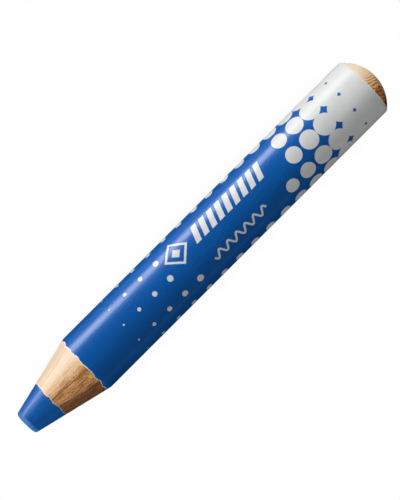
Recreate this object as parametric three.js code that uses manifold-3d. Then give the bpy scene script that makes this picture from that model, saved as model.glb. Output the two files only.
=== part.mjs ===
// A jumbo wood-cased wax crayon: a thick wax core glued between two grooved wooden halves,
// with a primed and lacquered round barrel, a sharpened cone at the front and a turned dome at
// the back.
//
// Millimetres, +Z up. The crayon lies on its side along X with the writing tip towards -X.
// The origin is the point of the resting surface under the middle of the crayon.
import * as THREE from "three";
import { mergeVertices } from "three/addons/utils/BufferGeometryUtils.js";
import Module from "manifold-3d";

const wasm = await Module();
wasm.setup();

// Driving dimensions.
const overallLength = 110;
const barrelRadius = 7.59;
const coreRadius = 4.885;
const coneSlope = 0.24; // rise of the radius per millimetre along the sharpened cone
const tipFaceRadius = 2.25; // flat writing face
const tipConeRadius = 2.96; // radius that the sharp cone would have at the writing face
const domeHeight = 3.7;
const lacquerThickness = 0.12;
const primerThickness = 0.07;
const glueThickness = 0.08;
const woodBehindCore = 8; // from the core's blind end to the top of the dome

// Fineness of the round shapes.
const sides = 64;
const domeSteps = 8;
const roundingSteps = 4;

// Radii and places that follow from them. Places along the axis are counted from the middle.
const tipX = -overallLength / 2;
const domeTopX = overallLength / 2;
const primerRadius = barrelRadius - lacquerThickness;
const woodRadius = primerRadius - primerThickness;
const boreRadius = coreRadius + glueThickness;
const coreEndX = domeTopX - woodBehindCore;
const boreEndX = coreEndX + glueThickness;
const domeSphereRadius = (barrelRadius ** 2 + domeHeight ** 2) / (2 * domeHeight);
const axisHeight = barrelRadius * Math.cos(Math.PI / sides); // a flat side lies on the surface

/** Place on the axis where the sharpened cone has this radius. */
function coneX(radius) {
  return tipX + (radius - tipConeRadius) / coneSlope;
}

/** Place on the axis where the dome has this radius. */
function domeX(radius) {
  return domeTopX - domeSphereRadius + Math.sqrt(domeSphereRadius ** 2 - radius ** 2);
}

/** Points from the writing face's rim to the cone, round the tip's worn edge. */
function tipRounding() {
  const setback = (tipConeRadius - tipFaceRadius) * 0.75;
  const bend = new THREE.QuadraticBezierCurve(
    new THREE.Vector2(tipFaceRadius, tipX),
    new THREE.Vector2(tipConeRadius, tipX),
    new THREE.Vector2(tipConeRadius + setback * coneSlope, tipX + setback),
  );
  return bend.getPoints(roundingSteps);
}

/** Points of the dome from this radius to the top, which lies on the axis. */
function domeOutline(radius) {
  const points = [];
  const widest = Math.asin(radius / domeSphereRadius);
  for (let i = 0; i < domeSteps; i++) {
    const r = domeSphereRadius * Math.sin(widest * (1 - i / domeSteps));
    points.push(new THREE.Vector2(r, domeX(r)));
  }
  points.push(new THREE.Vector2(0, domeTopX));
  return points;
}

/** Closed solid of revolution about X from a profile of (radius, place on the axis). */
function turned(profile) {
  const lathe = new THREE.LatheGeometry(profile, sides, Math.PI / sides);
  lathe.rotateZ(-Math.PI / 2);
  return solidOf(lathe);
}

/** A box about the axis, given its lowest and highest corners. */
function block(low, high) {
  const size = new THREE.Vector3().subVectors(high, low);
  const box = new THREE.BoxGeometry(size.x, size.y, size.z);
  const middle = new THREE.Vector3().addVectors(low, high).multiplyScalar(0.5);
  box.translate(middle.x, middle.y, middle.z);
  return solidOf(box);
}

/** A three.js geometry as a manifold solid. */
function solidOf(geometry) {
  const bare = geometry.clone();
  bare.deleteAttribute("normal");
  bare.deleteAttribute("uv");
  const merged = mergeVertices(bare, 1e-4);
  return new wasm.Manifold(
    new wasm.Mesh({
      numProp: 3,
      vertProperties: merged.attributes.position.array,
      triVerts: withoutSlivers(merged.index.array),
    }),
  );
}

/** The triangles whose three corners differ: a lathe leaves empty ones along its axis. */
function withoutSlivers(index) {
  const kept = [];
  for (let i = 0; i < index.length; i += 3) {
    const [a, b, c] = index.slice(i, i + 3);
    if (a !== b && b !== c && a !== c) kept.push(a, b, c);
  }
  return new Uint32Array(kept);
}

/** A manifold solid as a named three.js mesh with its material. */
function namedMesh(name, solid, material) {
  const made = solid.getMesh();
  const geometry = new THREE.BufferGeometry();
  geometry.setAttribute("position", new THREE.BufferAttribute(made.vertProperties, 3));
  geometry.setIndex(new THREE.BufferAttribute(made.triVerts, 1));
  const flat = geometry.toNonIndexed();
  flat.computeVertexNormals();
  const mesh = new THREE.Mesh(flat, material);
  mesh.name = name;
  return mesh;
}

/** A coat of lacquer or primer between two radii, cut off by the cone and by the dome. */
function coat(innerRadius, outerRadius) {
  return turned([
    new THREE.Vector2(innerRadius, coneX(innerRadius)),
    new THREE.Vector2(outerRadius, coneX(outerRadius)),
    new THREE.Vector2(outerRadius, domeX(outerRadius)),
    new THREE.Vector2(innerRadius, domeX(innerRadius)),
    new THREE.Vector2(innerRadius, coneX(innerRadius)),
  ]);
}

/** The writing core: worn tip, sharpened cone, and the round rod hidden in the wood. */
function leadCore() {
  return turned([
    new THREE.Vector2(0, tipX),
    ...tipRounding(),
    new THREE.Vector2(coreRadius, coneX(coreRadius)),
    new THREE.Vector2(coreRadius, coreEndX),
    new THREE.Vector2(0, coreEndX),
  ]);
}

/** Both wooden halves as one body with no bore: cone, barrel and dome. */
function woodBlank() {
  const start = coneX(boreRadius);
  return turned([
    new THREE.Vector2(0, start),
    new THREE.Vector2(boreRadius, start),
    new THREE.Vector2(woodRadius, coneX(woodRadius)),
    ...domeOutline(woodRadius),
  ]);
}

/** The round room for core and glue, from inside the cone to the blind end. */
function boreFilling() {
  const start = coneX(coreRadius);
  return turned([
    new THREE.Vector2(0, start),
    new THREE.Vector2(coreRadius, start),
    new THREE.Vector2(boreRadius, coneX(boreRadius)),
    new THREE.Vector2(boreRadius, boreEndX),
    new THREE.Vector2(0, boreEndX),
  ]);
}

/** The glue between the two halves: a thin flat slice of the blank. */
function glueSlice() {
  const reach = overallLength;
  return block(
    new THREE.Vector3(-reach, -reach, -glueThickness / 2),
    new THREE.Vector3(reach, reach, glueThickness / 2),
  );
}

/** Everything on one side of the glue slice: above it for 1, below it for -1. */
function halfSpace(side) {
  const reach = overallLength;
  const near = glueThickness / 2;
  return side > 0
    ? block(new THREE.Vector3(-reach, -reach, near), new THREE.Vector3(reach, reach, reach))
    : block(new THREE.Vector3(-reach, -reach, -reach), new THREE.Vector3(reach, reach, -near));
}

const materials = {
  core: new THREE.MeshStandardMaterial({ color: 0x0b4c9c, roughness: 0.5, metalness: 0 }),
  wood: new THREE.MeshStandardMaterial({ color: 0xd9ae7c, roughness: 0.75, metalness: 0 }),
  glue: new THREE.MeshStandardMaterial({ color: 0xe9e2cf, roughness: 0.6, metalness: 0 }),
  primer: new THREE.MeshStandardMaterial({ color: 0xf2f1ec, roughness: 0.6, metalness: 0 }),
  lacquer: new THREE.MeshStandardMaterial({ color: 0x0a4a94, roughness: 0.25, metalness: 0 }),
};

const core = leadCore();
const blank = woodBlank();
const filling = boreFilling();
const grooved = blank.subtract(filling);
const glue = blank.intersect(glueSlice()).add(filling).subtract(core);

const crayon = new THREE.Group();
crayon.position.z = axisHeight;
crayon.add(
  namedMesh("lead_core", core, materials.core),
  namedMesh("upper_wood_half", grooved.intersect(halfSpace(1)), materials.wood),
  namedMesh("lower_wood_half", grooved.intersect(halfSpace(-1)), materials.wood),
  namedMesh("glue_film", glue, materials.glue),
  namedMesh("primer_coat", coat(woodRadius, primerRadius), materials.primer),
  namedMesh("colour_lacquer", coat(primerRadius, barrelRadius), materials.lacquer),
);

export default crayon;
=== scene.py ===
"""The looks of a jumbo wood-cased wax crayon: wax core, bare wood, primer, lacquer and print.

Everything is in metres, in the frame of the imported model. The crayon lies along X with its
tip towards -X. A place on it is given by x, by the radius r from the crayon's axis, and by
the angle round the axis, which is 0 at the top and grows towards -Y.
"""
import math

import bmesh
import bpy
import numpy as np
from mathutils import Matrix, Vector
from mathutils.geometry import delaunay_2d_cdt


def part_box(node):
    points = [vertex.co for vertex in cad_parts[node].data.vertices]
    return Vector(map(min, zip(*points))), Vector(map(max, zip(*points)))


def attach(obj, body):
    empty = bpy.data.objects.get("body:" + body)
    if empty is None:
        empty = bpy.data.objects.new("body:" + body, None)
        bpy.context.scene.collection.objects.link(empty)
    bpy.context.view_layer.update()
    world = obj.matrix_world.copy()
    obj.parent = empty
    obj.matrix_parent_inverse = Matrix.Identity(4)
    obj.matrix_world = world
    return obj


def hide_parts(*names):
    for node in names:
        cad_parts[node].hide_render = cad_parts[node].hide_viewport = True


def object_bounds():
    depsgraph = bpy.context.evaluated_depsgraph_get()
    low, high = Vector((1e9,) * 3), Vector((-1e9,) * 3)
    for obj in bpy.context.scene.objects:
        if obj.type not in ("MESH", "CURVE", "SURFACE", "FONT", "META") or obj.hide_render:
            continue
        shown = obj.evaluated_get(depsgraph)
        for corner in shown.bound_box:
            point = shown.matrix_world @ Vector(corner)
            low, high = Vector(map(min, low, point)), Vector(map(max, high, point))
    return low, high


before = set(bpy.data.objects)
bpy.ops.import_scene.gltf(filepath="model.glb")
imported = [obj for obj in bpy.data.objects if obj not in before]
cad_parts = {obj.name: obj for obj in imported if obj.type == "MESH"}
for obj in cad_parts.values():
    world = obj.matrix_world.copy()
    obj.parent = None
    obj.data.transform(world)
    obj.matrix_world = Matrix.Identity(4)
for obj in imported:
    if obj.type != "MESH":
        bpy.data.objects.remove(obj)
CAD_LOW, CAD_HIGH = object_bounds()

MM = 0.001

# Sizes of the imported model.
TIP_X = CAD_LOW.x
TOP_X = CAD_HIGH.x
BARREL_R = (CAD_HIGH.z - CAD_LOW.z) / 2
AXIS_Z = CAD_LOW.z + BARREL_R
CORE_LOW, CORE_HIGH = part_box("lead_core")
CORE_R = (CORE_HIGH.y - CORE_LOW.y) / 2

# Shape of the sharpened cone and of the dome, as the model has them.
CONE_SLOPE = 0.24
TIP_CONE_R = 2.96 * MM
TIP_FACE_R = 2.25 * MM
DOME_HEIGHT = 3.7 * MM
DOME_SPHERE_R = (BARREL_R**2 + DOME_HEIGHT**2) / (2 * DOME_HEIGHT)
CORNER_X = TIP_X + (BARREL_R - TIP_CONE_R) / CONE_SLOPE

# Thin coats and the glue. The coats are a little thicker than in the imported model, so that
# their cut edges can be seen.
LACQUER = 0.14 * MM
PRIMER = 0.14 * MM
GLUE = 0.08 * MM
PRINT = 0.015 * MM
SUNK = 0.004 * MM  # how far the print's underside lies in the lacquer
PRIMED_R = BARREL_R - LACQUER
WOOD_R = PRIMED_R - PRIMER
BORE_END_X = CORE_HIGH.x + GLUE
BLEND_END_X = CORNER_X + 8 * MM  # from here on, the layers under the lacquer are round rods

TURN = 2 * math.pi
HALF_GIRTH = math.pi * BARREL_R  # half the way round the unrolled barrel

# Fineness of the meshes.
ROUND_STEPS = 288
WELD = 1e-4 * MM
SHARP_CORNER = math.radians(32)


# ---------------------------------------------------------------- shapes

def cone_radius(x):
    """Radius of the sharpened cone at this place."""
    return TIP_CONE_R + CONE_SLOPE * (x - TIP_X)


def cone_x(radius):
    """Place where the sharpened cone has this radius."""
    return TIP_X + (radius - TIP_CONE_R) / CONE_SLOPE


def dome_x(radius):
    """Place where the dome has this radius."""
    return TOP_X - DOME_SPHERE_R + np.sqrt(DOME_SPHERE_R**2 - np.square(radius))


def on_crayon(x, radius, angle):
    """Points in the frame from places given by x, radius and angle."""
    x, radius, angle = np.broadcast_arrays(x, radius, angle)
    return np.stack([x, -radius * np.sin(angle), AXIS_Z + radius * np.cos(angle)], axis=-1)


def smooth_step(value, low, high):
    """0 below low, 1 above high, and smooth between them."""
    share = np.clip((value - low) / (high - low), 0, 1)
    return share * share * (3 - 2 * share)


def ripple(angle, lowest, highest, seed):
    """An uneven wave round the crayon, about -1 to 1, from whole numbers of waves per turn."""
    draw = np.random.default_rng(seed)
    total = np.zeros_like(angle, dtype=float)
    waves = range(lowest, highest + 1)
    for count in waves:
        total += draw.uniform(0.5, 1) * np.sin(count * angle + draw.uniform(0, TURN))
    return total / math.sqrt(len(waves))


# Edges on the cone, as functions of the angle.

def lacquer_edge_x(angle):
    """Front edge of the lacquer. The sharpener cut a little deeper on one side."""
    lean = 0.9 * MM * ((1 + np.sin(angle)) / 2) ** 6
    bites = 0.24 * MM * ripple(angle, 10, 18, 3) + 0.07 * MM * ripple(angle, 30, 52, 4)
    return CORNER_X - np.maximum(0.28 * MM + lean + bites, 0.06 * MM)


def primer_edge_x(angle):
    """Front edge of the primer, a thin white line that is wider on the side away from the lean."""
    width = (0.2 - 0.12 * np.sin(angle)) * MM + 0.05 * MM * ripple(angle, 14, 31, 5)
    return lacquer_edge_x(angle) - np.maximum(width, 0.06 * MM)


def core_edge_x(angle):
    """Back edge of the bare wax on the cone."""
    bites = 0.16 * MM * ripple(angle, 5, 12, 8) + 0.06 * MM * ripple(angle, 24, 40, 9)
    return cone_x(CORE_R) + bites


def glue_edge_x(angle):
    """Back edge of the glue round the core, a thin pale line."""
    width = (0.14 - 0.1 * np.sin(angle)) * MM + 0.05 * MM * ripple(angle, 9, 23, 10)
    return core_edge_x(angle) + np.maximum(width, 0.05 * MM)


# ---------------------------------------------------------------- meshes

def new_piece(name, points, faces, material, slot, *replaced):
    """A piece from points and faces. It rides on the crayon and stands for these CAD nodes."""
    work = bmesh.new()
    corners = [work.verts.new(p) for p in points]
    for face in faces:
        work.faces.new([corners[i] for i in face])
    bmesh.ops.remove_doubles(work, verts=work.verts, dist=WELD)
    bmesh.ops.recalc_face_normals(work, faces=work.faces)
    mesh = bpy.data.meshes.new(name)
    work.to_mesh(mesh)
    work.free()
    mesh.materials.append(material)
    mesh.shade_smooth()
    mesh.set_sharp_from_angle(angle=SHARP_CORNER)
    piece = bpy.data.objects.new(name, mesh)
    bpy.context.scene.collection.objects.link(piece)
    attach(piece, "root")
    if replaced:
        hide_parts(*replaced)


def grid_faces(rows, columns, wrap_rows, wrap_columns):
    """Quads between the points of a grid, which may close on itself in either direction."""
    faces = []
    for i in range(rows if wrap_rows else rows - 1):
        for j in range(columns if wrap_columns else columns - 1):
            a, b = i * columns, (i + 1) % rows * columns
            c, d = j, (j + 1) % columns
            faces.append((a + c, b + c, b + d, a + d))
    return faces


def full_turn():
    """Angles of the columns of a piece that goes all the way round."""
    return np.linspace(-math.pi, math.pi, ROUND_STEPS, endpoint=False)


def between(start, end, steps):
    """Rows from start to end, each of which may differ with the angle, both included."""
    start, end = np.broadcast_arrays(start, end)
    share = np.linspace(0, 1, steps)[:, None]
    return start + (end - start) * share


def turned_piece(name, x, radius, closes, material, slot, *replaced):
    """A piece from rows of places, one row per point of its outline and one column per angle."""
    angle = full_turn()
    points = on_crayon(x, radius, angle).reshape(-1, 3)
    faces = grid_faces(len(x), len(angle), closes, True)
    new_piece(name, points, faces, material, slot, *replaced)


# ---------------------------------------------------------------- wax core

def tip_outline(steps):
    """x and radius over the worn rim, from the edge of the writing face to the cone."""
    setback = (TIP_CONE_R - TIP_FACE_R) * 0.75
    start = np.array([TIP_X, TIP_FACE_R])
    bend = np.array([TIP_X, TIP_CONE_R])
    end = np.array([TIP_X + setback, TIP_CONE_R + setback * CONE_SLOPE])
    t = np.linspace(0, 1, steps)[:, None]
    rim = (1 - t) ** 2 * start + 2 * t * (1 - t) * bend + t**2 * end
    return rim[:, 0], rim[:, 1]


def wax_relief(x, angle):
    """Height of the cut wax: marks of the blade and faint flats. It fades at rim and wood."""
    behind_rim = smooth_step(x, TIP_X, TIP_X + 1.2 * MM)
    at_wood = smooth_step(x, cone_x(CORE_R) - 0.4 * MM, cone_x(CORE_R))
    along = (x - TIP_X) / MM
    blade = np.sin(2.1 * along + 2 * ripple(angle, 1, 3, 21))
    blade = blade + 0.6 * np.sin(5.3 * along + 3 * ripple(angle, 2, 5, 22))
    flats = ripple(angle + 0.02 * along, 7, 15, 23)
    return behind_rim * (1 - at_wood) * (0.004 * blade + 0.006 * flats) * MM


def face_wear(x, radius, angle):
    """How far the writing face is worn back, a little more on some sides than on others."""
    inside = smooth_step(TIP_FACE_R - radius, 0, 1.2 * MM) * (x <= TIP_X)
    return inside * 0.03 * MM * (1 + ripple(angle, 2, 6, 24) * radius / TIP_FACE_R)


def make_core(material):
    """The wax core: worn writing face, cut cone, and the rod inside the wood."""
    angle = full_turn()
    flat = np.ones_like(angle)
    face_r = np.linspace(0, TIP_FACE_R, 14, endpoint=False)
    rim_x, rim_r = tip_outline(steps=12)
    edge = core_edge_x(angle)
    cone = between(rim_x[-1] * flat, edge, steps=70)[1:]
    x = np.concatenate([
        np.outer(np.full_like(face_r, TIP_X), flat),
        np.outer(rim_x, flat),
        cone,
        np.outer([CORE_HIGH.x, CORE_HIGH.x], flat),
    ])
    radius = np.concatenate([
        np.outer(face_r, flat),
        np.outer(rim_r, flat),
        cone_radius(cone),
        np.stack([cone_radius(edge), 0 * flat]),
    ])
    radius = radius + wax_relief(x, angle) * (radius > 0)
    x = x + face_wear(x, radius, angle)
    turned_piece("wax_core", x, radius, False, material, "wax_core", "lead_core")


# ---------------------------------------------------------------- wood

def cone_fibres(x, angle):
    """Height of the cut wood on the cone: fine fibres along it and faint marks of the blade."""
    along = (x - TIP_X) / MM
    wander = 0.02 * np.sin(0.7 * along) + 0.012 * np.sin(1.9 * along + 1)
    fine = 0.007 * ripple(angle + wander, 60, 110, 31)
    coarse = 0.012 * ripple(angle + wander / 2, 24, 50, 32)
    blade = 0.006 * np.sin(3.4 * along + 2.5 * ripple(angle, 1, 4, 33))
    return (fine + coarse + blade) * MM


def dome_fibres(radius, angle):
    """Height of the turned end grain on the dome: fine rings from the lathe and uneven grain."""
    y = -radius * np.sin(angle) / MM
    z = radius * np.cos(angle) / MM
    grain = np.sin(7.5 * y + 0.9 * np.sin(0.8 * z) + 0.5 * z) + 0.7 * np.sin(17 * y + 1.3 * z)
    lathe = np.sin(11 * radius / MM)
    return (0.007 * grain + 0.004 * lathe) * MM


def cut_cone(angle):
    """x and radius of the bare wood on the cone, from the glue to the primer."""
    start, end = glue_edge_x(angle), primer_edge_x(angle)
    x = between(start, end, steps=120)
    fade = smooth_step(x - start, 0, 0.3 * MM) * (1 - smooth_step(x - end, -0.3 * MM, 0))
    return x, cone_radius(x) + cone_fibres(x, angle) * fade


def make_wood_half(name, side, material, replaced):
    """One grooved half of the casing: side is 1 for the upper half and -1 for the lower one."""
    gap = GLUE / 2
    columns = ROUND_STEPS // 2 + 1
    share = np.linspace(-1, 1, columns)
    flat = np.ones(columns)

    def angles(radius):
        """Angles of this row's points: the flat joint cuts them off beside the axis."""
        reach = np.arccos(np.clip(gap / radius, -1, 1))
        return share * reach + (0 if side > 0 else math.pi)

    cone, cone_r = cut_cone(angles(BARREL_R * flat))
    hidden = between(cone[-1], dome_x(WOOD_R) * flat, steps=8)[1:-1]
    hidden_r = cone_r[-1] + (WOOD_R - cone_r[-1]) * smooth_step(hidden, CORNER_X, BLEND_END_X)
    dome_r = np.outer(WOOD_R * np.sin(np.linspace(1, 0, 34) * math.pi / 2), flat)
    dome_r = np.maximum(dome_r, gap)
    fade = smooth_step(WOOD_R - dome_r, 0, 0.3 * MM) * smooth_step(dome_r, gap, 0.5 * MM)
    dome = dome_x(dome_r) + dome_fibres(dome_r, angles(dome_r)) * fade
    groove_x = np.outer([BORE_END_X, BORE_END_X], flat)
    groove_r = np.stack([gap * flat, cone_radius(cone[0])])
    x = np.concatenate([cone, hidden, dome, groove_x])
    radius = np.concatenate([cone_r, hidden_r, dome_r, groove_r])
    points = on_crayon(x, radius, angles(radius)).reshape(-1, 3)
    faces = grid_faces(len(x), columns, True, False)
    first_column = np.arange(len(x)) * columns
    faces += [first_column.tolist(), (first_column + columns - 1).tolist()]
    new_piece(name, points, faces, material, "casing_wood", replaced)


def make_glue(material):
    """The glue round the core: a thin sleeve, seen as a pale line between wax and wood."""
    angle = full_turn()
    start, end = core_edge_x(angle), glue_edge_x(angle)
    back = CORE_HIGH.x + np.zeros_like(angle)
    x = np.stack([start, end, back, back])
    radius = np.stack([cone_radius(start), cone_radius(end), cone_radius(end), cone_radius(start)])
    turned_piece("glue_sleeve", x, radius, True, material, "wood_glue", "glue_film")


def make_joint_film(name, side, material):
    """The flat film of glue on one side of the core, flush with the cone and with the dome."""
    angle = np.array(side * math.pi / 2)
    front, wood_end = glue_edge_x(angle), primer_edge_x(angle)
    inner = cone_radius(front)
    dome_r = WOOD_R * np.sin(np.linspace(1, 0.002, 24) * math.pi / 2)  # almost to the axis
    x = [front, wood_end, BLEND_END_X, *dome_x(dome_r), BORE_END_X, BORE_END_X]
    radius = [inner, cone_radius(wood_end), WOOD_R, *dome_r, dome_r[-1], inner]
    proud = 0.004 * MM  # squeezed out of the joint by this much
    half = GLUE / 2
    count = len(x)
    y = -side * (np.array(radius) + proud)
    points = [(x[i], y[i], AXIS_Z + half) for i in range(count)]
    points += [(x[i], y[i], AXIS_Z - half) for i in range(count)]
    faces = [tuple(range(count)), tuple(range(count, 2 * count))]
    faces += [(i, (i + 1) % count, count + (i + 1) % count, count + i) for i in range(count)]
    new_piece(name, points, faces, material, "wood_glue")


# ---------------------------------------------------------------- coats

def sanded_edge():
    """Start, bending radius and whole turn of the lacquer's back edge, rounded on to the dome."""
    turn = math.pi / 2 - math.asin(PRIMED_R / DOME_SPHERE_R)
    bend = LACQUER / (1 - math.cos(turn))
    return dome_x(PRIMED_R) - bend * math.sin(turn), bend, turn


EASING = 0.04 * MM  # of the lacquer's corner between cone and barrel
EASED_CORNER = ((-1, 1), (-0.3, 0.45), (0.3, 0.12))  # along and inwards, in shares of it


def make_lacquer(material):
    """The blue coat: cut front edge on the cone, smooth barrel, sanded back edge."""
    angle = full_turn()
    flat = np.ones_like(angle)
    front = lacquer_edge_x(angle)
    front_r = cone_radius(front)
    corner_x = [CORNER_X + along * EASING for along, _ in EASED_CORNER]
    corner_r = [BARREL_R - inwards * EASING * CONE_SLOPE for _, inwards in EASED_CORNER]
    edge_start, bend, whole_turn = sanded_edge()
    barrel = between((CORNER_X + EASING) * flat, edge_start * flat, steps=60)
    turn = np.linspace(0, whole_turn, 7)
    back_x = edge_start + bend * np.sin(turn)
    back_r = BARREL_R - bend * (1 - np.cos(turn))
    inner_x = between(back_x[-1] * flat, front, steps=24)[1:-1]
    inner_r = front_r + (PRIMED_R - front_r) * smooth_step(inner_x, CORNER_X, BLEND_END_X)
    x = np.concatenate([
        front[None, :],
        np.outer(corner_x, flat),
        barrel,
        np.outer(back_x[1:], flat),
        inner_x,
    ])
    radius = np.concatenate([
        front_r[None, :],
        np.outer(corner_r, flat),
        np.full_like(barrel, BARREL_R),
        np.outer(back_r[1:], flat),
        inner_r,
    ])
    turned_piece("blue_lacquer", x, radius, True, material, "blue_lacquer", "colour_lacquer")


def make_primer(material):
    """The white undercoat between wood and lacquer."""
    angle = full_turn()
    flat = np.ones_like(angle)
    front, edge = primer_edge_x(angle), lacquer_edge_x(angle)
    front_r, edge_r = cone_radius(front), cone_radius(edge)
    blend_x = between((CORNER_X + 0.2 * MM) * flat, BLEND_END_X * flat, steps=6)
    share = smooth_step(blend_x, CORNER_X, BLEND_END_X)
    outer_r = edge_r + (PRIMED_R - edge_r) * share
    inner_r = front_r + (WOOD_R - front_r) * share
    x = np.concatenate([
        np.stack([front, edge]),
        blend_x,
        np.outer([dome_x(PRIMED_R), dome_x(WOOD_R)], flat),
        blend_x[::-1],
    ])
    radius = np.concatenate([
        np.stack([front_r, edge_r]),
        outer_r,
        np.outer([PRIMED_R, WOOD_R], flat),
        inner_r[::-1],
    ])
    turned_piece("white_primer", x, radius, True, material, "primer", "primer_coat")


# ---------------------------------------------------------------- print

DOT_COLUMNS = 10
DOT_TURN = math.radians(-1.5)  # angle of the column nearest the top
DOT_STRETCH = math.radians(2.5)
DOT_FIRST_X = TIP_X + 31.25 * MM
DOT_PITCH = 4.802 * MM
DOT_ROWS = 16
DOT_STEPS = 48
BAND_SETBACK = 1.2 * MM  # start of the solid band behind the middles of the last dots
PRINT_STEP = 2.2 * MM  # the film is cut this often along the barrel
PRINT_TURN = math.radians(3)  # and this often round it
MERGE = 1e-5  # mm, distance at which two points of the cut film are one


def dot_radius(row):
    """Radius of the dots in a row: they grow slowly, then so fast that they merge."""
    smallest, slow_growth, fast_growth = 0.22, 0.235, 1.53  # mm
    slow = smallest + slow_growth * row**0.7
    fast = fast_growth * max(0, (row - 7) / 8) ** 1.78
    return (slow + fast) * MM


def dot_angle(column):
    """Angle of a column of dots. They stand a little wider apart on top than underneath."""
    even = column * TURN / DOT_COLUMNS
    return DOT_TURN + even + DOT_STRETCH * math.sin(even)


def flat_circle(x, around, radius):
    """Outline of a dot on the unrolled barrel."""
    turn = [TURN * i / DOT_STEPS for i in range(DOT_STEPS)]
    return [(x + radius * math.cos(t), around + radius * math.sin(t)) for t in turn]


def blank_for_marks(column, row):
    """True where the dots leave room for the marks."""
    return (column in (-1, 0) and 4 <= row <= 10) or (column == 1 and 5 <= row <= 9)


def dot_outlines():
    """Outlines of all dots, and of the solid band behind the last row, on the unrolled barrel."""
    outlines = []
    for row in range(DOT_ROWS):
        for column in range(-DOT_COLUMNS // 2, DOT_COLUMNS // 2 + 2):
            if blank_for_marks(column, row):
                continue
            around = dot_angle(column) * BARREL_R
            radius = dot_radius(row)
            if abs(around) - radius < HALF_GIRTH:
                outlines.append(flat_circle(DOT_FIRST_X + row * DOT_PITCH, around, radius))
    band = DOT_FIRST_X + (DOT_ROWS - 1) * DOT_PITCH + BAND_SETBACK
    outlines.append([
        (band, -HALF_GIRTH), (TOP_X, -HALF_GIRTH), (TOP_X, HALF_GIRTH), (band, HALF_GIRTH),
    ])
    return outlines


def printed_surface(along):
    """x, radius and tilt of the lacquer at this length along the barrel and its back edge."""
    edge_start, bend, whole_turn = sanded_edge()
    tilt = np.clip((along - edge_start) / bend, 0, whole_turn)
    x = np.minimum(along, edge_start) + bend * np.sin(tilt)
    return x, BARREL_R - bend * (1 - np.cos(tilt)), tilt


def cut_lines(low, high):
    """Lengths and places round the barrel where the film is cut, so that it bends with it."""
    edge_start, bend, whole_turn = sanded_edge()
    lengths = np.arange(low[0], high[0], PRINT_STEP)[1:]
    rounding = edge_start + bend * np.linspace(0, whole_turn, 5)[:-1]
    around = np.arange(low[1], high[1], PRINT_TURN * BARREL_R)[1:]
    return [*lengths[lengths < edge_start - 0.1 * MM], *rounding[rounding < high[0]]], around


def joined_seam(points, faces):
    """Faces that use the same points on both sides of the seam of the unrolled barrel."""
    in_order = np.argsort(points[:, 0])
    height = points[in_order, 1]
    near, far = (in_order[np.abs(height - end) < MERGE * MM] for end in (-HALF_GIRTH, HALF_GIRTH))
    number = np.arange(len(points))
    number[far] = near
    return number[faces]


def cut_to_outlines(outlines, low, high):
    """Triangles of the area inside any of the outlines, within the rectangle from low to high."""
    points, edges, faces = [], [], []
    for outline in [[low, (high[0], low[1]), high, (low[0], high[1])], *outlines]:
        faces.append(list(range(len(points), len(points) + len(outline))))
        points += outline
    lengths, around = cut_lines(low, high)
    for start, end in [
        *(((x, low[1]), (x, high[1])) for x in lengths),
        *(((low[0], y), (high[0], y)) for y in around),
    ]:
        edges.append((len(points), len(points) + 1))
        points += [start, end]
    inside_faces = 1  # keeps the triangles that are inside the given faces
    in_mm_points = [Vector((x / MM, y / MM)) for x, y in points]
    made = delaunay_2d_cdt(in_mm_points, edges, faces, inside_faces, MERGE)
    corners, _, triangles, _, _, sources = made
    corners = np.array([p[:] for p in corners]) * MM
    # A triangle is kept if it comes from the rectangle, which is face 0, and from an outline.
    kept = [t for t, source in zip(triangles, sources) if 0 in source and len(source) > 1]
    used, kept = np.unique(joined_seam(corners, np.array(kept)), return_inverse=True)
    return corners[used], kept.reshape(-1, 3)


def make_print(name, outlines, low, high, material):
    """A thin film of ink on the barrel, cut to the outlines on the unrolled barrel."""
    flat_points, faces = cut_to_outlines(outlines, low, high)
    x, radius, tilt = printed_surface(flat_points[:, 0])
    angle = flat_points[:, 1] / BARREL_R
    top, under = (
        on_crayon(x + lift * np.sin(tilt), radius + lift * np.cos(tilt), angle)
        for lift in (PRINT, -SUNK)
    )
    count = len(flat_points)
    edges = {(f[i], f[(i + 1) % 3]) for f in faces for i in range(3)}
    rim = [(a, b) for a, b in sorted(edges) if (b, a) not in edges]
    sides = [(b, a, count + a, count + b) for a, b in rim]
    faces = [*faces, *(faces[:, ::-1] + count), *sides]
    new_piece(name, np.concatenate([top, under]), faces, material, "print_ink")


def make_dots(material):
    """The printed dots, which merge into a solid band over the lacquer's rounded back edge."""
    edge_start, bend, whole_turn = sanded_edge()
    low = (DOT_FIRST_X - 1 * MM, -HALF_GIRTH)
    high = (edge_start + bend * whole_turn, HALF_GIRTH)
    make_print("dot_print", dot_outlines(), low, high, material)


def slanted_bars():
    """A plain row of slanted bars on the unrolled barrel."""
    start, end = TIP_X + 55.2 * MM, TIP_X + 78.4 * MM
    low, high = math.radians(-41.5) * BARREL_R, math.radians(-10.5) * BARREL_R
    slant = 1.5 * MM
    count = 9
    pitch = (end - start - slant) / count
    width = pitch * 0.62
    bars = []
    for i in range(count):
        x = start + i * pitch
        bars.append([(x, high), (x + slant, low), (x + width + slant, low), (x + width, high)])
    return bars


def diamond_mark():
    """A plain diamond outline with a small diamond inside, on the unrolled barrel."""
    middle = np.array([TIP_X + 50.4 * MM, math.radians(-25) * BARREL_R])
    reach = np.array([3.5, 3.3]) * MM
    directions = np.array([(1, 0), (0, 1), (-1, 0), (0, -1)])
    outer = middle + directions * reach
    inner = middle + directions * reach * 0.78
    core = middle + directions * reach * 0.36
    shapes = []
    for i in range(4):
        j = (i + 1) % 4
        shapes.append([tuple(outer[i]), tuple(outer[j]), tuple(inner[j]), tuple(inner[i])])
    shapes.append([tuple(p) for p in core])
    return shapes


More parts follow.
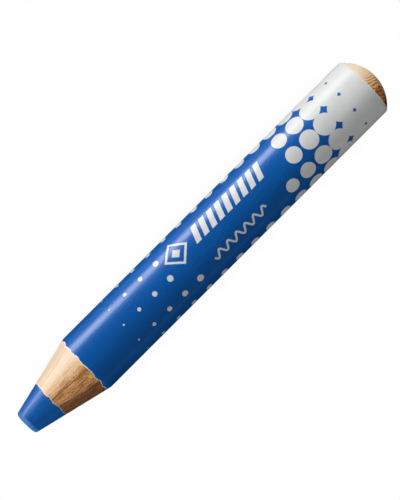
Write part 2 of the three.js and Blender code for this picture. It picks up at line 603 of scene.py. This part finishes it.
def wave_mark():
    """A plain wavy stroke on the unrolled barrel."""
    start, end = TIP_X + 55.8 * MM, TIP_X + 71.8 * MM
    middle = math.radians(28) * BARREL_R
    height, half_width = 0.85 * MM, 0.24 * MM
    waves = 6
    t = np.linspace(0, 1, 145)
    x = start + (end - start) * t
    y = middle + height * np.sin(TURN * waves * t)
    slope = height * TURN * waves / (end - start) * np.cos(TURN * waves * t)
    across = np.stack([-slope, np.ones_like(slope)], axis=1)
    across /= np.linalg.norm(across, axis=1)[:, None]
    line = np.stack([x, y], axis=1)
    left, right = line + across * half_width, line - across * half_width
    return [[tuple(p) for p in np.concatenate([right, left[::-1]])]]


def make_marks(material):
    """The plain marks on the front of the barrel."""
    for name, outlines in (
        ("bar_marks", slanted_bars()),
        ("diamond_mark", diamond_mark()),
        ("wave_mark", wave_mark()),
    ):
        corners = np.array([p for outline in outlines for p in outline])
        low, high = corners.min(axis=0) - 0.5 * MM, corners.max(axis=0) + 0.5 * MM
        make_print(name, outlines, tuple(low), tuple(high), material)


# ---------------------------------------------------------------- materials

# Colours, as pairs of a material's two tones or as one tint that is mixed in.
LACQUER_TONES = (0.0012, 0.105, 0.415), (0.0016, 0.115, 0.45)
INK_TONES = (0.72, 0.735, 0.73), (0.755, 0.77, 0.765)
INK_SPECKLE = (0.58, 0.64, 0.68)
WAX_TONES = (0.002, 0.094, 0.36), (0.005, 0.115, 0.44)
WAX_SPECKS = (0.03, 0.19, 0.55)
# Worn wax on the tip's rim: paler from wear and as a painted highlight on the rounded rim; the -Y
# tone is brightened as painted light, the +Y tone darkened as painted shade.
WORN_TONES_PAINTED_LIGHT_SHADE = (0.074, 0.305, 0.78), (0.018, 0.105, 0.305)  # on the -Y side and on the +Y side
WORN_SCUFFS = (0.012, 0.11, 0.36)
WRITING_FACE = (0.008, 0.10, 0.36)
GLUE_TONES = (0.84, 0.76, 0.62), (0.72, 0.60, 0.42)
JOINT_TONES = (0.62, 0.47, 0.30), (0.48, 0.34, 0.20)  # glue pressed thin, stained by the wood
PRIMER_TONES = (0.93, 0.92, 0.88), (0.80, 0.75, 0.66)
STAIN_TINT = (0.92, 0.66, 0.14)


def new_material(name, **shader_values):
    """A material with these constants on its Principled shader."""
    material = bpy.data.materials.new(name)
    material.use_nodes = True
    shader = material.node_tree.nodes["Principled BSDF"]
    for socket, value in shader_values.items():
        shader.inputs[socket.replace("_", " ")].default_value = value
    return material


def add(tree, kind, inputs=None, **settings):
    """A node of this kind. inputs sets a socket's value, or links it if given a socket."""
    made = tree.nodes.new(kind)
    for key, value in settings.items():
        setattr(made, key, value)
    for key, value in (inputs or {}).items():
        if isinstance(value, bpy.types.NodeSocket):
            tree.links.new(value, made.inputs[key])
        else:
            made.inputs[key].default_value = value
    return made


def in_mm(tree, scale=(1, 1, 1), offset=(0, 0, 0)):
    """The place on the crayon in millimetres, stretched by scale and then moved."""
    place = add(tree, "ShaderNodeTexCoord").outputs["Object"]
    stretch = tuple(s / MM for s in scale)
    inputs = {"Vector": place, "Scale": stretch, "Location": offset}
    return add(tree, "ShaderNodeMapping", inputs).outputs["Vector"]


def coordinate(tree, vector, axis):
    """One coordinate of a vector."""
    return add(tree, "ShaderNodeSeparateXYZ", {"Vector": vector}).outputs[axis]


def noise(tree, place, scale, detail=2.0, rough=0.5, warp=0.0):
    """Cloudy noise with this many lumps per unit of place."""
    return add(tree, "ShaderNodeTexNoise", {
        "Vector": place, "Scale": scale, "Detail": detail, "Roughness": rough, "Distortion": warp,
    }).outputs["Fac"]


def ramp(tree, value, *stops):
    """Colours between stops of (place, colour)."""
    made = add(tree, "ShaderNodeValToRGB", {"Fac": value})
    made.color_ramp.interpolation = "EASE"
    elements = made.color_ramp.elements
    while len(elements) < len(stops):
        elements.new(0.5)
    for element, (place, colour) in zip(elements, stops):
        element.position = place
        element.color = (*colour, 1)
    return made.outputs["Color"]


def spread(tree, value, low, high, to_low=0.0, to_high=1.0):
    """value from low to high, spread from to_low to to_high and held there."""
    return add(tree, "ShaderNodeMapRange", {
        "Value": value, "From Min": low, "From Max": high, "To Min": to_low, "To Max": to_high,
    }, interpolation_type="SMOOTHSTEP").outputs["Result"]


def maths(tree, kind, first, second=0.0):
    """One step of arithmetic."""
    return add(tree, "ShaderNodeMath", {0: first, 1: second}, operation=kind).outputs[0]


def vectors(tree, kind, first, second=(0, 0, 0)):
    """One step of vector arithmetic."""
    made = add(tree, "ShaderNodeVectorMath", {0: first, 1: second}, operation=kind)
    return made.outputs["Value" if kind in ("LENGTH", "DISTANCE", "DOT_PRODUCT") else "Vector"]


MIX_SHARE, MIX_FIRST, MIX_SECOND, MIX_RESULT = 0, 6, 7, 2  # sockets of a mix of colours


def mixed(tree, share, first, second):
    """Two colours mixed, each given as a socket or as red, green and blue."""
    inputs = {MIX_SHARE: share, MIX_FIRST: first, MIX_SECOND: second}
    for key in (MIX_FIRST, MIX_SECOND):
        if isinstance(inputs[key], tuple):
            inputs[key] = (*inputs[key], 1)
    return add(tree, "ShaderNodeMix", inputs, data_type="RGBA").outputs[MIX_RESULT]


def finish_material(material, colour, roughness, height, depth, strength):
    """Links colour, roughness and a bump of this depth to the material's shader."""
    tree = material.node_tree
    shader = tree.nodes["Principled BSDF"]
    inputs = {"Height": height, "Distance": depth, "Strength": strength}
    bump = add(tree, "ShaderNodeBump", inputs).outputs["Normal"]
    for socket, value in (("Base Color", colour), ("Roughness", roughness), ("Normal", bump)):
        tree.links.new(value, shader.inputs[socket])


def lacquer_material():
    """Glossy blue lacquer with a faint orange peel and rubbed places."""
    material = new_material("blue_lacquer", Specular_IOR_Level=0.5)
    tree = material.node_tree
    place = in_mm(tree)
    clouds = noise(tree, place, scale=0.12, detail=3)
    colour = ramp(tree, clouds, (0.3, LACQUER_TONES[0]), (0.7, LACQUER_TONES[1]))
    rubbed = noise(tree, in_mm(tree, (0.08, 0.4, 0.4)), scale=0.7, detail=3)
    roughness = spread(tree, rubbed, 0.35, 0.75, 0.27, 0.3)
    peel = noise(tree, place, scale=0.9, detail=1)
    finish_material(material, colour, roughness, peel, 0.002 * MM, 0.4)
    return material


def ink_material():
    """Silvery white ink, slightly uneven from the printing."""
    material = new_material("white_ink", Specular_IOR_Level=0.22)
    tree = material.node_tree
    place = in_mm(tree)
    clouds = noise(tree, place, scale=0.35, detail=3)
    tone = ramp(tree, clouds, (0.3, INK_TONES[0]), (0.7, INK_TONES[1]))
    speckle = noise(tree, place, scale=9, detail=2)
    colour = mixed(tree, spread(tree, speckle, 0.66, 0.8, 0.0, 0.25), tone, INK_SPECKLE)
    roughness = spread(tree, clouds, 0.3, 0.7, 0.3, 0.38)
    finish_material(material, colour, roughness, speckle, 0.003 * MM, 0.5)
    return material


def wax_material():
    """Blue wax with cutting streaks and rubbed specks, worn paler and duller at the tip, where the
    pale rim is partly a painted highlight, lighter towards -Y as painted light and darker towards
    +Y as painted shade.
    """
    material = new_material("blue_wax", Specular_IOR_Level=0.45)
    tree = material.node_tree
    cuts = in_mm(tree, (0.5, 2.2, 2.2))
    streaks = noise(tree, cuts, scale=1.0, detail=4, rough=0.6, warp=0.3)
    tone = ramp(tree, streaks, (0.25, WAX_TONES[0]), (0.75, WAX_TONES[1]))
    specks = noise(tree, in_mm(tree), scale=4.5, detail=3, rough=0.6)
    specked = mixed(tree, spread(tree, specks, 0.62, 0.8, 0.0, 0.25), tone, WAX_SPECKS)

    place = in_mm(tree, offset=(-TIP_X / MM, 0, -AXIS_Z / MM))
    from_axis = vectors(tree, "LENGTH", vectors(tree, "MULTIPLY", place, (0, 1, 1)))
    uneven = spread(tree, streaks, 0.3, 0.7, -0.08, 0.08)
    from_tip = maths(tree, "ADD", coordinate(tree, place, "X"), uneven)
    worn = spread(tree, from_tip, 0.95, 1.2, 1.0, 0.0)
    # Painted light and shade: the worn rim is brighter towards -Y and darker towards +Y.
    rubbed = mixed(tree, spread(tree, coordinate(tree, place, "Y"), -1.5, 2.5), *WORN_TONES_PAINTED_LIGHT_SHADE)
    rubs = in_mm(tree, (0.4, 0.7, 2.6))
    scuffs = noise(tree, rubs, scale=1.0, detail=4, rough=0.65, warp=0.6)
    scuffed = mixed(tree, spread(tree, scuffs, 0.42, 0.62, 0.0, 0.55), rubbed, WORN_SCUFFS)
    faced = mixed(tree, spread(tree, from_axis, 1.9, 2.5, 0.75, 0.0), scuffed, WRITING_FACE)
    colour = mixed(tree, worn, specked, faced)
    gloss = spread(tree, streaks, 0.3, 0.7, 0.34, 0.38)
    roughness = spread(tree, worn, 0.0, 1.0, gloss, 0.6)
    finish_material(material, colour, roughness, specks, 0.004 * MM, 0.4)
    return material


RINGS_TILT = math.radians(14)  # lean of the growth rings from upright
RINGS_PITCH = 0.76  # mm

# Colours of the wood from its brown -Y side to its pale +Y side, on the cut cone and on the dome:
# partly the wood's own tones, partly painted shade towards -Y and painted light towards +Y. The
# dome's darkest stop is a painted dark rim where the dome turns away from the light.
CONE_TONES = (
    (0.00, (0.22, 0.100, 0.040)),
    (0.21, (0.34, 0.150, 0.062)),
    (0.28, (0.70, 0.370, 0.165)),
    (0.34, (0.84, 0.460, 0.200)),
    (0.41, (0.42, 0.190, 0.074)),
    (0.49, (0.84, 0.475, 0.235)),
    (0.60, (0.88, 0.580, 0.330)),
    (0.72, (0.90, 0.690, 0.490)),
    (0.80, (0.91, 0.730, 0.550)),
    (0.87, (0.73, 0.560, 0.400)),
    (0.93, (0.84, 0.640, 0.450)),
    (1.00, (0.76, 0.570, 0.400)),
)
DOME_TONES = (
    (0.08, (0.06, 0.026, 0.012)),
    (0.16, (0.40, 0.155, 0.050)),
    (0.26, (0.62, 0.250, 0.080)),
    (0.33, (0.44, 0.170, 0.050)),
    (0.40, (0.88, 0.470, 0.195)),
    (0.50, (0.97, 0.610, 0.300)),
    (0.60, (0.95, 0.690, 0.410)),
    (0.72, (0.95, 0.750, 0.530)),
    (0.80, (0.96, 0.780, 0.570)),
    (1.00, (0.86, 0.680, 0.520)),
)
GRAIN_SHADE = (0.50, 0.29, 0.14)  # how much of the wood's colour is left in its darkest grain
# Ring lines are darker on the -Y side, following the painted shade, and lighter on the pale +Y
# side.
RING_TONES = (0.05, 0.018, 0.006), (0.30, 0.100, 0.018)  # on the brown and on the pale side
PORE_TONE = (0.20, 0.075, 0.025)


def stain_at(from_tip, degrees):
    """Middle of a small yellow stain on the cone, in mm from the crayon's middle."""
    x = TIP_X + from_tip * MM
    return tuple((on_crayon(x, cone_radius(x), math.radians(degrees)) - (0, 0, AXIS_Z)) / MM)


STAINS = (stain_at(18.5, -6), stain_at(18.0, 21))
DOME_REACH = (40, 44)  # mm from the crayon's middle, where the looks of the dome begin


def cut_noise(tree, place, outward, stretch, fineness, detail, rough=0.6):
    """Noise with lumps drawn out towards the tip: stretch per mm, fineness per radian."""
    slow = vectors(tree, "MULTIPLY", place, (stretch, 0, 0))
    quick = vectors(tree, "MULTIPLY", outward, (0, fineness, fineness))
    return noise(tree, vectors(tree, "ADD", slow, quick), 1.0, detail, rough)


def with_grain(tree, tone, fibres, flecks, shown):
    """The tone with dark fibres and flecks in it, as strongly as shown says."""
    streaks = maths(tree, "MULTIPLY", shown, spread(tree, fibres, 0.52, 0.38, 0.0, 0.88))
    streaked = mixed(tree, streaks, tone, vectors(tree, "MULTIPLY", tone, GRAIN_SHADE))
    flecks = maths(tree, "MULTIPLY", shown, spread(tree, flecks, 0.45, 0.6, 0.0, 0.6))
    return mixed(tree, flecks, streaked, vectors(tree, "MULTIPLY", streaked, GRAIN_SHADE))


def with_stains(tree, tone, place, fibres):
    """The tone with the small yellow stains in it, frayed along the fibres."""
    frayed = spread(tree, fibres, 0.3, 0.7, -0.15, 0.15)
    for stain in STAINS:
        spot = maths(tree, "ADD", vectors(tree, "DISTANCE", place, stain), frayed)
        tone = mixed(tree, spread(tree, spot, 0.2, 0.5, 0.8, 0.0), tone, STAIN_TINT)
    return tone


def with_rings(tree, tone, place, shade, shown):
    """The tone with the lines of the growth rings and the pores in it."""
    across_rings = (0, math.cos(RINGS_TILT), -math.sin(RINGS_TILT))
    tilted = vectors(tree, "DOT_PRODUCT", place, across_rings)
    bend = spread(tree, noise(tree, place, scale=0.35, detail=2), 0.25, 0.75, -2.4, 2.4)
    phase = maths(tree, "ADD", maths(tree, "MULTIPLY", tilted, TURN / RINGS_PITCH), bend)
    ring = spread(tree, maths(tree, "SINE", phase), 0.2, 0.9)
    patchy = spread(tree, noise(tree, place, scale=0.9, detail=3), 0.34, 0.52, 0.35, 1.0)
    lines = maths(tree, "MULTIPLY", maths(tree, "MULTIPLY", ring, patchy), shown)
    # The ring lines follow the painted shade: darker where shade is low.
    line_tone = mixed(tree, spread(tree, shade, 0.2, 0.5), *RING_TONES)
    ringed = mixed(tree, lines, tone, line_tone)
    pores = spread(tree, noise(tree, place, scale=3.2, detail=2), 0.56, 0.7, 0.0, 0.6)
    return mixed(tree, maths(tree, "MULTIPLY", pores, shown), ringed, PORE_TONE)


def wood_material():
    """Bare light wood, browner and darker towards -Y and paler towards +Y, partly its own tones and
    partly painted shade and light.
    The cut cone shows fibres that run to the tip, and the domed end shows growth rings and pores."""
    material = new_material("casing_wood", Specular_IOR_Level=0.25)
    tree = material.node_tree
    place = in_mm(tree, offset=(0, 0, -AXIS_Z / MM))
    along = coordinate(tree, place, "X")
    across = vectors(tree, "MULTIPLY", place, (0, 1, 1))
    from_axis = vectors(tree, "LENGTH", across)
    reach = spread(tree, along, *DOME_REACH, from_axis, BARREL_R / MM)
    outward = vectors(tree, "DIVIDE", across, reach)
    side = coordinate(tree, outward, "Y")
    on_dome = spread(tree, along, *DOME_REACH)

    wander = spread(tree, cut_noise(tree, place, outward, 0.07, 4, 2), 0.25, 0.75, 0.42, 0.58)
    # shade runs from painted shade at -Y to painted light at +Y, with random wander.
    shade = maths(tree, "ADD", maths(tree, "MULTIPLY", side, 0.5), wander)
    tone = mixed(tree, on_dome, ramp(tree, shade, *CONE_TONES), ramp(tree, shade, *DOME_TONES))
    fibres = cut_noise(tree, place, outward, 0.32, 23, 4, 0.7)
    flecks = cut_noise(tree, place, outward, 2.4, 27, 2)
    # Grain shows most on the -Y side, the side with the painted shade.
    shaded_side = spread(tree, side, 0.5, -0.1, 0.1, 1.0)
    fainter = spread(tree, along, *DOME_REACH, 1.0, 0.25)
    grained = with_grain(tree, tone, fibres, flecks, maths(tree, "MULTIPLY", shaded_side, fainter))
    stained = with_stains(tree, grained, place, fibres)
    ringed_side = maths(tree, "MULTIPLY", on_dome, spread(tree, side, 0.28, -0.04, 0.04, 1.0))
    colour = with_rings(tree, stained, place, shade, ringed_side)
    roughness = spread(tree, fibres, 0.3, 0.7, 0.6, 0.76)
    finish_material(material, colour, roughness, fibres, 0.02 * MM, 0.6)
    return material


def pale_material(name, light, dark):
    """A dull pale layer seen only as a thin line, with small stains."""
    material = new_material(name, Specular_IOR_Level=0.3)
    tree = material.node_tree
    stains = noise(tree, in_mm(tree), scale=1.8, detail=3, rough=0.6)
    colour = ramp(tree, stains, (0.3, light), (0.75, dark))
    roughness = spread(tree, stains, 0.3, 0.7, 0.5, 0.65)
    finish_material(material, colour, roughness, stains, 0.01 * MM, 0.4)
    return material


# Reach of the painted contact shadow on the floor.
SHADE_REACH = 9 * MM  # how near the floor something has to be to shade it


def floor_material():
    """Plain white paper that glows evenly white, with a painted soft shadow only where the crayon
    touches it.
    """
    material = bpy.data.materials.new("white_floor")
    material.use_nodes = True
    tree = material.node_tree
    tree.nodes.clear()
    # Painted shadow: ambient occlusion dims the floor's glow near the crayon.
    openness = add(tree, "ShaderNodeAmbientOcclusion", {"Distance": SHADE_REACH}, samples=8)
    light = spread(tree, openness.outputs["AO"], 0.15, 0.6, 0.72, 0.995)
    glow = add(tree, "ShaderNodeEmission", {"Color": (1, 1, 1, 1), "Strength": light})
    out = add(tree, "ShaderNodeOutputMaterial")
    tree.links.new(glow.outputs[0], out.inputs["Surface"])
    return material


# ---------------------------------------------------------------- studio

SWEEP_REACH = 3.0  # metres
SWEEP_FLAT = 0.7  # share of the reach that is flat floor
SWEEP_BEND = 0.3  # radius of the bend up into the dome, as a share of the reach
SWEEP_COLUMNS = 64
SWEEP_DROP = 0.02 * MM


def sweep_profile():
    """Distance from the middle and height of the flat floor, the bend and the dome."""
    profile = [(0.0, 0.0), (SWEEP_BEND, 0.0), (SWEEP_FLAT, 0.0)]
    for t in np.linspace(0.1, math.pi / 2, 10):
        profile.append((SWEEP_FLAT + SWEEP_BEND * math.sin(t), SWEEP_BEND * (1 - math.cos(t))))
    for t in np.linspace(0.1, math.pi / 2, 12):
        profile.append((math.cos(t), SWEEP_BEND + math.sin(t)))
    return [(SWEEP_REACH * radius, SWEEP_REACH * height) for radius, height in profile]


def make_floor():
    """A white studio sweep: a flat floor that turns up into a dome far away."""
    profile = sweep_profile()
    points = []
    for radius, height in profile:
        for j in range(SWEEP_COLUMNS):
            turn = TURN * j / SWEEP_COLUMNS
            points.append((radius * math.cos(turn), radius * math.sin(turn), height))
    faces = grid_faces(len(profile), SWEEP_COLUMNS, False, True)
    mesh = bpy.data.meshes.new("studio_sweep")
    mesh.from_pydata(points, [], faces)
    mesh.materials.append(floor_material())
    mesh.shade_smooth()
    floor = bpy.data.objects.new("studio_sweep", mesh)
    bpy.context.scene.collection.objects.link(floor)
    floor.location.z = -SWEEP_DROP
    floor.visible_diffuse = False
    floor.visible_glossy = False
    floor.visible_shadow = False


def area_light(name, direction, distance, size, strength, colour=(1, 1, 1)):
    """A softbox of size (along X, across) that faces the crayon from this direction."""
    data = bpy.data.lights.new(name, "AREA")
    data.shape = "RECTANGLE"
    data.size, data.size_y = size
    data.energy = strength
    data.color = colour
    light = bpy.data.objects.new(name, data)
    towards = Vector(direction).normalized()
    light.location = Vector((0, 0, AXIS_Z)) + towards * distance
    side = Vector((1, 0, 0)) if abs(towards.x) < 0.9 else Vector((0, 1, 0))
    up = towards.cross(side).normalized()
    right = up.cross(towards).normalized()
    light.rotation_mode = "QUATERNION"
    light.rotation_quaternion = Matrix((right, up, towards)).transposed().to_quaternion()
    light.visible_camera = False
    bpy.context.scene.collection.objects.link(light)
    return light


def around_top(angle):
    """Direction across the crayon at this angle from the top, in degrees, towards -Y."""
    turn = math.radians(angle)
    return (0, -math.sin(turn), math.cos(turn))


SOFTBOX_DISTANCE = 1.2
STRIP_DISTANCE = 0.7
STRIP_LENGTH = 1.8
ROOM_LIGHT = 0.2
SOFTBOXES = (
    # name, direction, size along and across, strength
    ("low_key", around_top(-65), (1.6, 0.45), 7.4),
    ("high_key", around_top(-25), (1.6, 0.45), 0.6),
    ("fill", around_top(90), (1.6, 0.45), 1.45),
    ("back_key", (0.9, 1.2, 0.8), (0.6, 0.6), 7.5),
    ("tip_fill", (-1, -0.05, 0.08), (0.4, 0.4), 12.0),
)
STRIPS = (
    # name, angle from the top, width, strength, colour
    ("strip", -74.5, 0.27, 14.5, (1.0, 1.0, 0.97)),
    ("edge_strip", 93, 0.12, 0.2, (0.5, 0.8, 1.0)),
    ("under_strip", -112, 0.12, 0.35, (1.0, 0.9, 0.8)),
)


def make_lights():
    """A soft key from the upper left, long strips for the gloss, and a dim room."""
    for name, direction, size, strength in SOFTBOXES:
        softbox = area_light(name, direction, SOFTBOX_DISTANCE, size, strength)
        softbox.visible_glossy = False
        softbox.data.cycles.use_multiple_importance_sampling = False
    for name, angle, width, strength, colour in STRIPS:
        size = STRIP_LENGTH, width
        strip = area_light(name, around_top(angle), STRIP_DISTANCE, size, strength, colour)
        strip.visible_diffuse = False
    world = bpy.data.worlds.new("room")
    world.use_nodes = True
    background = world.node_tree.nodes["Background"]
    background.inputs["Color"].default_value = (1, 1, 1, 1)
    background.inputs["Strength"].default_value = ROOM_LIGHT
    world.cycles_visibility.glossy = False
    bpy.context.scene.world = world


CAMERA_X = -6.15 * MM
CAMERA_HEIGHT = 437.9 * MM  # above the crayon's axis
TARGET_X = -0.2 * MM
CAMERA_LENS = 141.1
CAMERA_SENSOR = 36


def make_camera():
    """Straight above the crayon, a little towards its tip, turned so that it lies at 45 degrees."""
    above = Vector((CAMERA_X, 0, AXIS_Z + CAMERA_HEIGHT))
    target = Vector((TARGET_X, 0, AXIS_Z))
    data = bpy.data.cameras.new("camera")
    data.sensor_width = CAMERA_SENSOR
    data.lens = CAMERA_LENS
    camera = bpy.data.objects.new("camera", data)
    camera.location = above
    back = (above - target).normalized()
    sideways = Vector((1, -1, 0))
    right = (sideways - back * sideways.dot(back)).normalized()
    up = back.cross(right)
    camera.rotation_mode = "QUATERNION"
    camera.rotation_quaternion = Matrix((right, up, back)).transposed().to_quaternion()
    bpy.context.scene.collection.objects.link(camera)
    bpy.context.scene.camera = camera


# ---------------------------------------------------------------- the scene

bpy.context.scene.view_settings.view_transform = "Standard"
make_camera()
make_lights()
make_floor()

make_core(wax_material())
wood = wood_material()
make_wood_half("upper_wood", 1, wood, "upper_wood_half")
make_wood_half("lower_wood", -1, wood, "lower_wood_half")
make_glue(pale_material("dried_glue", *GLUE_TONES))
joint = pale_material("pressed_glue", *JOINT_TONES)
make_joint_film("glue_joint_left", -1, joint)
make_joint_film("glue_joint_right", 1, joint)
make_primer(pale_material("white_primer", *PRIMER_TONES))
make_lacquer(lacquer_material())
ink = ink_material()
make_dots(ink)
make_marks(ink)
